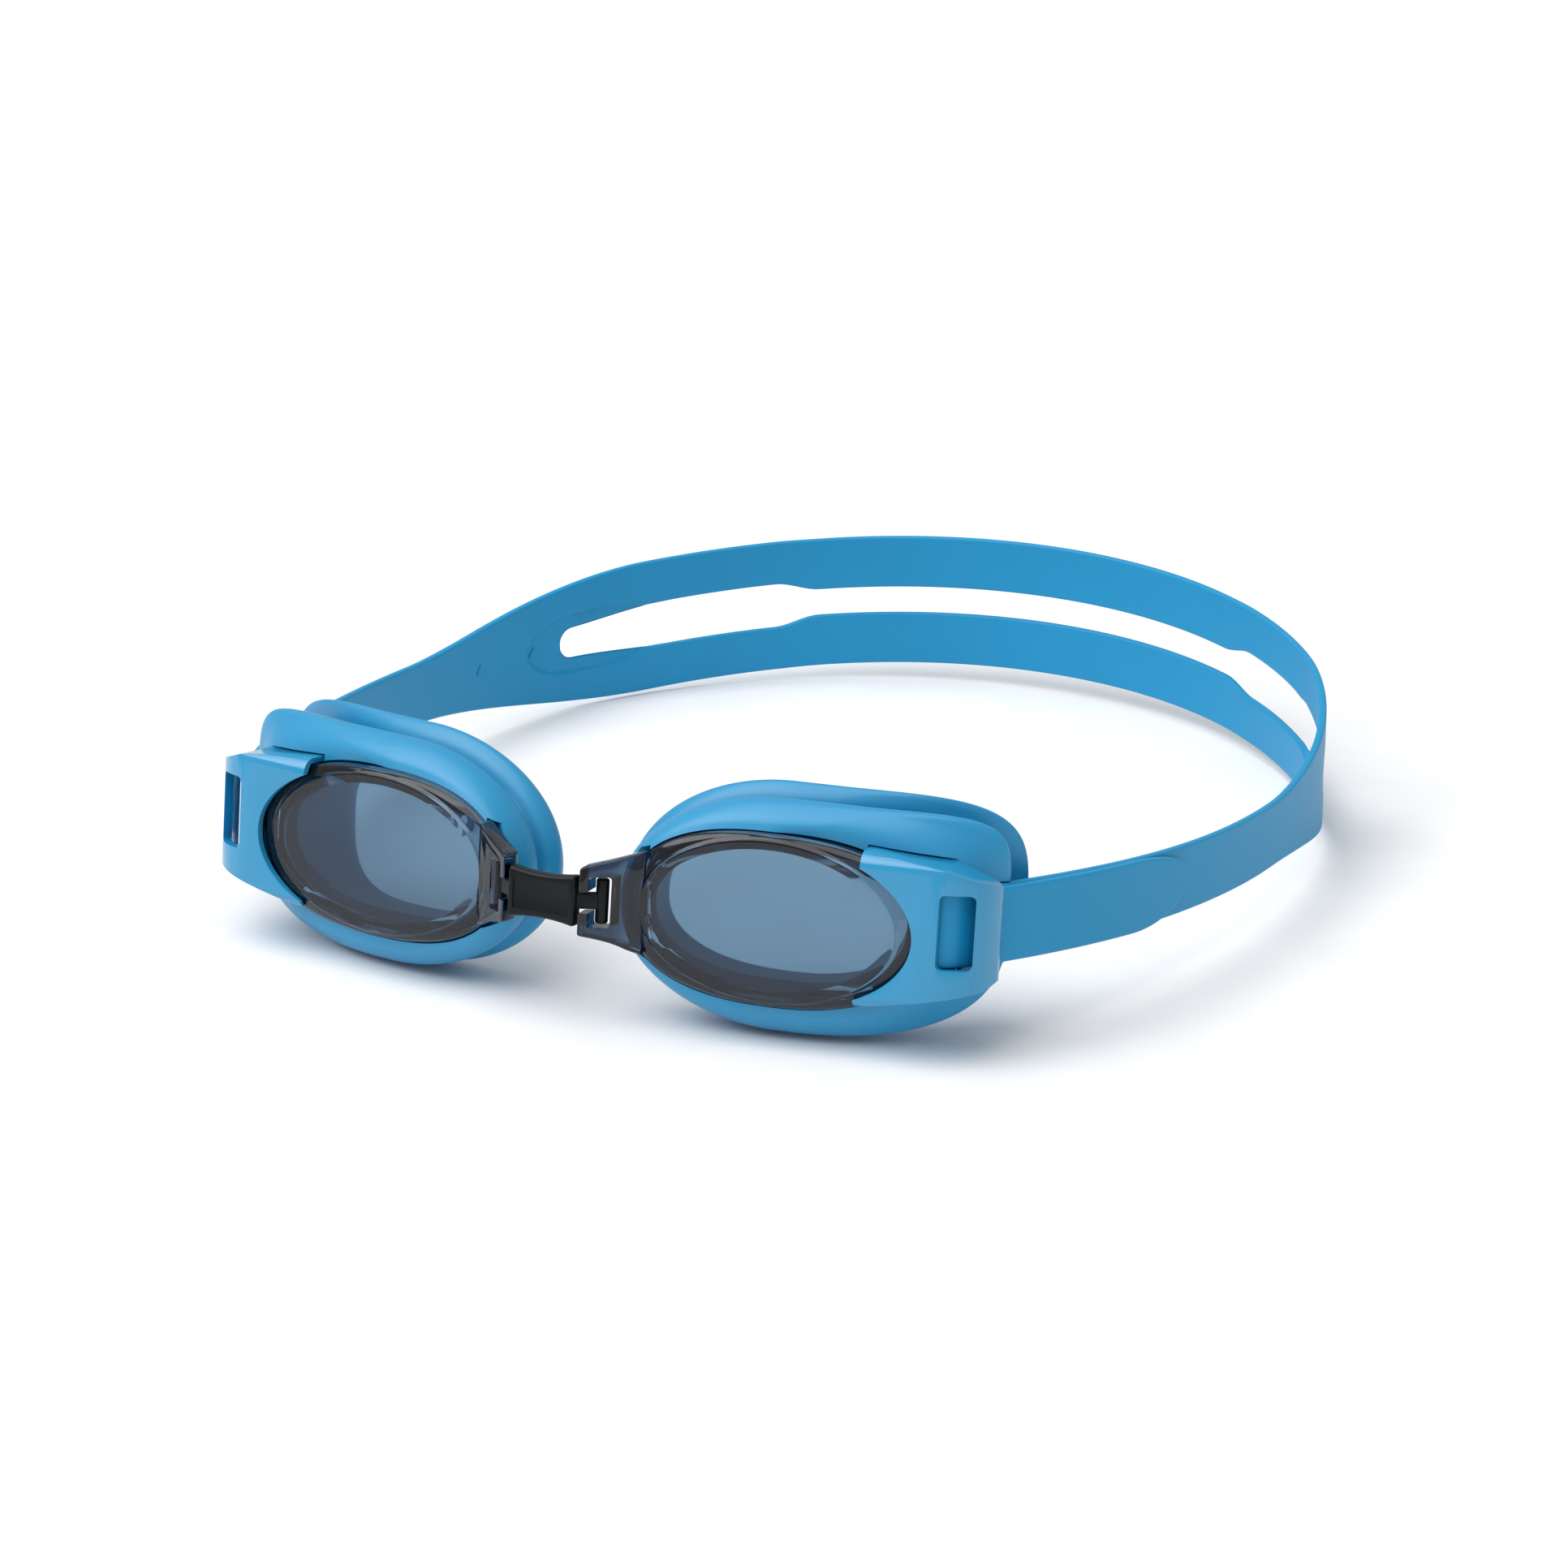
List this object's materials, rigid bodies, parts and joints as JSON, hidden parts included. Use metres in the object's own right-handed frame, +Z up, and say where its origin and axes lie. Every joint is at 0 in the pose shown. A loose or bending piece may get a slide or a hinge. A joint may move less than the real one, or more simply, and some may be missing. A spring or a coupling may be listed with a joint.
{
  "type": "swim goggles",
  "caption": "Swim goggles: clear smoke lens cups with soft face pads, a hooked nose bridge, side clips and an adjustable head strap that splits into bands at the back.",
  "frame": {"origin": "bottom centre of the whole object's box", "axes": "+Z up, -Y is the way the wearer looks, +X is the wearer's left"},
  "size_m": [0.176, 0.2104, 0.0411],
  "materials": {
    "lens": "clear smoke polycarbonate, polished",
    "pad": "soft silicone, satin",
    "clip": "moulded plastic, glossy",
    "strap": "silicone, satin",
    "bridge": "flexible plastic, semi-gloss"
  },
  "bodies": {
    "bridge": {"nose_bridge": "bridge"},
    "left_cup": {"left_lens": "lens", "left_pad": "pad", "left_clip": "clip", "left_strap_loop": "strap", "left_arm_front": "strap"},
    "right_cup": {"right_lens": "lens", "right_pad": "pad", "right_clip": "clip", "right_strap_loop": "strap", "right_arm_front": "strap"},
    "strap_rear": {"left_arm_rear": "strap", "right_arm_rear": "strap", "left_strap_junction": "strap", "right_strap_junction": "strap"},
    "upper_strap": {"upper_band": "strap"},
    "lower_strap": {"lower_band": "strap"},
    "left_tail": {"left_strap_tail": "strap"},
    "right_tail": {"right_strap_tail": "strap"}
  },
  "joints": [
    {"name": "left_hook", "type": "hinge", "parent": "bridge", "child": "left_cup", "pos_m": [0.00946, -0.10048, 0.02286], "axis": [0, 0.1167, 0.9932], "range_deg": [-8, 10], "deforming": ["left_arm_front"]},
    {"name": "right_hook", "type": "hinge", "parent": "bridge", "child": "right_cup", "pos_m": [-0.00946, -0.10048, 0.02286], "axis": [0, -0.1167, -0.9932], "range_deg": [-8, 10], "deforming": ["right_arm_front"]},
    {"name": "strap_length", "type": "slide", "parent": "bridge", "child": "strap_rear", "axis": [0, -1, 0], "range_m": [0, 0.015], "deforming": ["left_arm_rear", "right_arm_rear"]},
    {"name": "left_tail_run", "type": "hinge", "parent": "left_cup", "child": "left_tail", "pos_m": [-0.10265, 0.00052, 0.02294], "axis": [0, 0, 1], "range_deg": [0, 4.6]},
    {"name": "right_tail_run", "type": "hinge", "parent": "right_cup", "child": "right_tail", "pos_m": [0.10265, 0.00052, 0.02294], "axis": [0, 0, -1], "range_deg": [0, 4.6]},
    {"name": "upper_band_lift", "type": "hinge", "parent": "strap_rear", "child": "upper_strap", "pos_m": [0, 0.0586, 0.0266], "axis": [1, 0, 0], "range_deg": [0, 35], "stiffness_Nm_per_rad": 0.05},
    {"name": "lower_band_drop", "type": "hinge", "parent": "strap_rear", "child": "lower_strap", "pos_m": [0, 0.0586, 0.0008], "axis": [-1, 0, 0], "range_deg": [0, 20], "stiffness_Nm_per_rad": 0.05}
  ],
  "couplings": [
    {"joint": "left_tail_run", "follows": "strap_length", "rad_per_m": 5.2632},
    {"joint": "right_tail_run", "follows": "strap_length", "rad_per_m": 5.2632}
  ]
}
